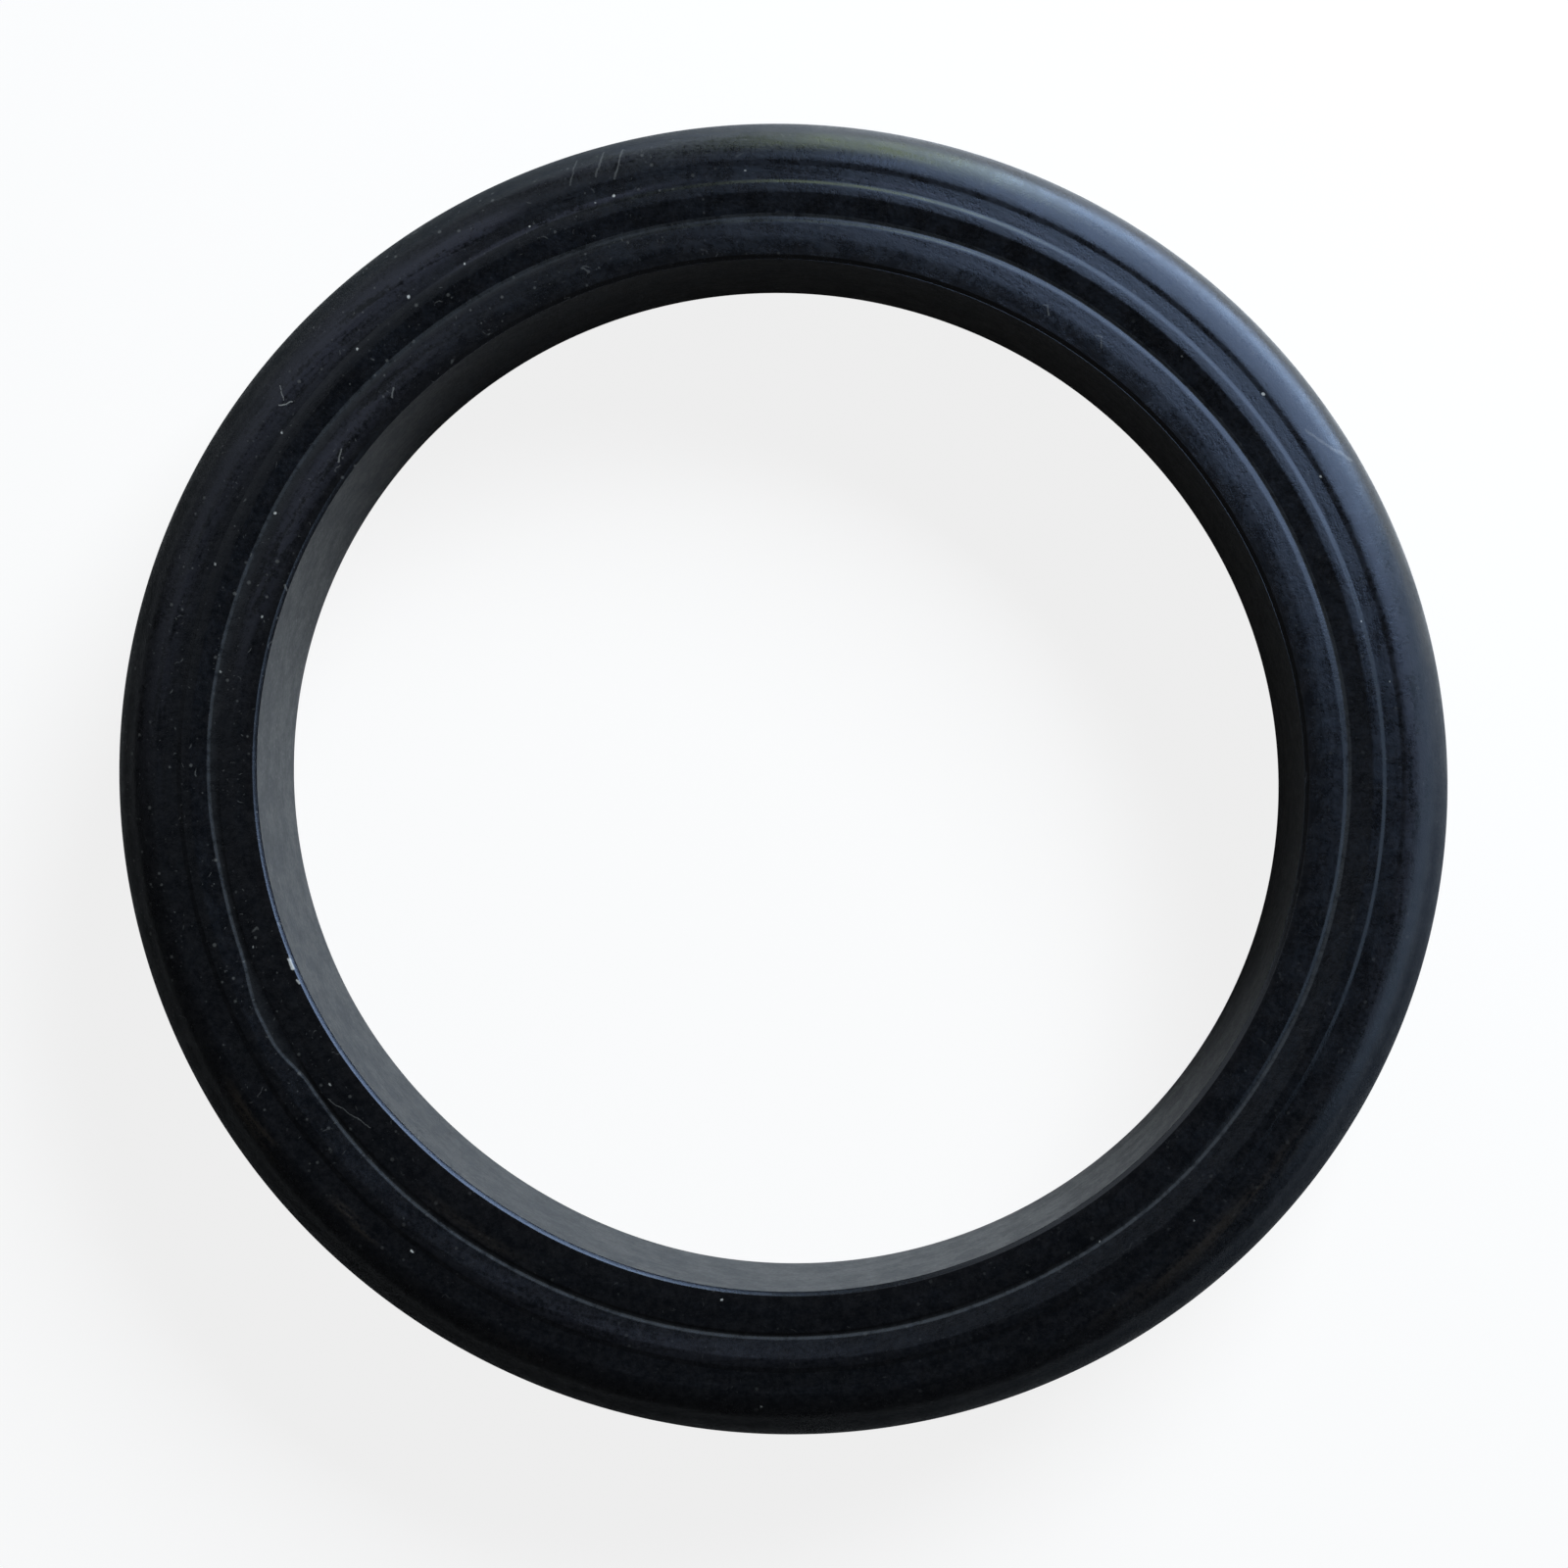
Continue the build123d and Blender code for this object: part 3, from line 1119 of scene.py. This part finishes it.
# Painted shade: towards the window side, the bore's colour is mixed towards near black
unshaded = between(tree, from_window, *UNSHADED_BY_SIDE)
unshaded = math_of(tree, "MULTIPLY", unshaded, between(tree, skin["Cloud"], *UNSHADED_BY_CLOUD))
colour = mix_colour(tree, unshaded, PAINTED_SHADE, colour)
specks = use_group(tree, settled_group, Place=place["Place"], Angle=place["Angle"])["Specks"]
polish = between(tree, from_window, *POLISH_BY_SIDE)
finish_rubber(bore_rubber, colour, specks, skin["Roughness"], polish, BORE_ROUGHNESS, BORE_SPECULAR)

# %% [markdown]
# The ring lies on a plain sheet. The sheet is nearly white by its own colour, and under plain lamps it
# comes out a little below white. Light Path then mixes in plain white light of strength 1: most of it for
# rays from the camera and for rays through glass, which leaves a soft part of the ring's shade.
#
# Rays from a glossy surface get only a trace of it. Rubber mirrors the sheet along the bore and the
# tread, and there the mirrored sheet has to keep its full shade, or the ring would get a pale rim.

# %% Floor
SHEET_GREY = (0.95, 0.95, 0.95, 1)
SHEET_ROUGHNESS = 0.9
sheet_half_size = 2.0
# Share of plain white for each kind of ray
WHITE_SHARES = {"Is Camera Ray": 0.85, "Is Transmission Ray": 0.85, "Is Glossy Ray": 0.02}

floor_mesh = bpy.data.meshes.new("floor")
work = bmesh.new()
bmesh.ops.create_grid(work, x_segments=1, y_segments=1, size=sheet_half_size)
work.to_mesh(floor_mesh)
work.free()
floor = bpy.data.objects.new("floor", floor_mesh)
bpy.context.scene.collection.objects.link(floor)

pale_sheet = bpy.data.materials.new("pale_sheet")
pale_sheet.use_nodes = True
tree = pale_sheet.node_tree
sheet_surface = tree.nodes["Principled BSDF"]
sheet_surface.inputs["Base Color"].default_value = SHEET_GREY
sheet_surface.inputs["Roughness"].default_value = SHEET_ROUGHNESS
sheet_surface.inputs["Specular IOR Level"].default_value = 0.0
rays = tree.nodes.new("ShaderNodeLightPath").outputs
white = tree.nodes.new("ShaderNodeEmission")
share = 0.0
for ray, weight in WHITE_SHARES.items():
    share = math_of(tree, "ADD", math_of(tree, "MULTIPLY", rays[ray], weight), share)
both = tree.nodes.new("ShaderNodeMixShader")
feed(tree, both.inputs["Fac"], share)
feed(tree, both.inputs[1], sheet_surface.outputs["BSDF"])
feed(tree, both.inputs[2], white.outputs["Emission"])
feed(tree, tree.nodes["Material Output"].inputs["Surface"], both.outputs["Shader"])
floor_mesh.materials.append(pale_sheet)
print("sheet", 2 * sheet_half_size, "m wide")

# %% [markdown]
# Light does two jobs here. One is the plain level at which the sheet and the dust are seen. A single
# large lamp gives it, hidden from gloss because its image would lie as a grey veil on the rubber. The
# other is the sheen, the mirror image of a window. Panels stand where that image has to come from, and
# are hidden from diffuse light so that they do not raise the plain level. Only the foot of the window
# also lights the ring.
#
# A lamp's energy is spread over its face, which makes sizes awkward to try out. The helpers take the
# brightness of the face instead and work the energy out.

# %% Helpers for lamps
def face_lamp(name, width, height, brightness, colour):
    """A rectangular lamp that is given by the brightness of its face."""
    lamp = bpy.data.lights.new(name, "AREA")
    lamp.shape = "RECTANGLE"
    lamp.size = width
    lamp.size_y = height
    lamp.energy = brightness * math.pi * width * height
    lamp.color = colour
    holder = bpy.data.objects.new(name, lamp)
    bpy.context.scene.collection.objects.link(holder)
    return holder


def high_lamp(name, azimuth, elevation, size, brightness, colour):
    """A lamp a metre away that looks at the ring. Azimuth 0 is along +X and 90 along +Y."""
    turn, lift = math.radians(azimuth), math.radians(elevation)
    out = Vector((math.cos(turn) * math.cos(lift), math.sin(turn) * math.cos(lift), math.sin(lift)))
    holder = face_lamp(name, *size, brightness, colour)
    holder.location = out
    holder.rotation_euler = (-out).to_track_quat("-Z", "Y").to_euler()
    return holder


def panel(name, azimuth, foot, head, width, brightness, colour):
    """A lamp panel that stands beside the ring. Foot and head are (distance from the axis, height)."""
    turn = math.radians(azimuth)
    out = Vector((math.cos(turn), math.sin(turn), 0))
    low = out * foot[0] + Vector((0, 0, foot[1]))
    high = out * head[0] + Vector((0, 0, head[1]))
    rise = (high - low).normalized()
    side = Vector((-out.y, out.x, 0))
    facing = side.cross(rise)
    if facing.dot(-out) < 0:
        side, facing = -side, -facing
    holder = face_lamp(name, width, (high - low).length, brightness, colour)
    turned_to = Matrix((side, rise, -facing)).transposed().to_4x4()
    holder.matrix_world = Matrix.Translation((low + high) / 2) @ turned_to
    return holder


print("lamp helpers ready")

# %% [markdown]
# The window stands at the upper right. Its main panel leans over the ring so that its image fills the
# shoulder there. Behind it stands its foot, wider and lower, which carries the image on to both sides. A
# weaker panel on the right and a green one at the top end it. The far window is large and dim and reaches
# the upper left.

# %% Lights
WINDOW_BLUE = (0.44, 0.62, 1.0)
PALE_BLUE = (0.5, 0.7, 1.0)
GARDEN_GREEN = (0.8, 1.0, 0.72)
SKY_BLUE = (0.76, 0.86, 1.0)
COOL_WHITE = (0.86, 0.94, 1.0)
ROOM_WHITE = (0.95, 0.97, 1.0, 1)
ROOM_LEVEL = 0.035

# Degrees, then distance and height of foot and head and the width in metres, brightness and colour
sheen_lamps = [
    panel("window", 50, (0.20, 0.004), (0.088, 0.136), 0.14, 4.1, WINDOW_BLUE),
    panel("window foot", 50, (0.30, 0.002), (0.28, 0.10), 0.26, 4.2, PALE_BLUE),
    panel("side window", -1, (0.30, 0.002), (0.20, 0.20), 0.26, 1.2, PALE_BLUE),
    panel("green side", 80, (0.25, 0.004), (0.20, 0.13), 0.09, 3.1, GARDEN_GREEN),
    high_lamp("far window", 134, 44, (0.7, 1.1), 0.36, SKY_BLUE),
]
for lamp in sheen_lamps:
    lamp.visible_diffuse = lamp.name == "window foot"
room_lamp = high_lamp("room lamp", 54, 30, (0.6, 0.36), 27.0, COOL_WHITE)
room_lamp.visible_glossy = False

world = bpy.data.worlds.new("room")
bpy.context.scene.world = world
world.use_nodes = True
room = world.node_tree.nodes["Background"].inputs
room["Color"].default_value = ROOM_WHITE
room["Strength"].default_value = ROOM_LEVEL
print(len(sheen_lamps), "sheen lamps and one", room_lamp.name)

# %% [markdown]
# The camera looks almost straight down from about a quarter of a metre, a little from the right, so that
# the bore wall shows more on the left. Upright in the view stays along +Y, so the camera's axes are
# worked out from the line of sight instead of being turned by hand.

# %% Camera
eye_x = 9.89 * MM
eye_y = -5.13 * MM
eye_height = 262 * MM
target_x = 0.74 * MM
target_y = -1.08 * MM
LENS = 58.15
SENSOR = 36

flat_plane = mid_plane + seat_height
eye = Vector((eye_x, eye_y, flat_plane + eye_height))
target = Vector((target_x, target_y, flat_plane))
back = (eye - target).normalized()
right = Vector((0, 1, 0)).cross(back).normalized()
up = back.cross(right)
camera_data = bpy.data.cameras.new("camera")
camera_data.lens = LENS
camera_data.sensor_width = SENSOR
camera = bpy.data.objects.new("camera", camera_data)
camera.matrix_world = Matrix.Translation(eye) @ Matrix((right, up, back)).transposed().to_4x4()
bpy.context.scene.collection.objects.link(camera)
bpy.context.scene.camera = camera

bpy.context.scene.view_settings.view_transform = "Standard"
print("camera", round((eye - target).length / MM), "mm from the clamping flat")
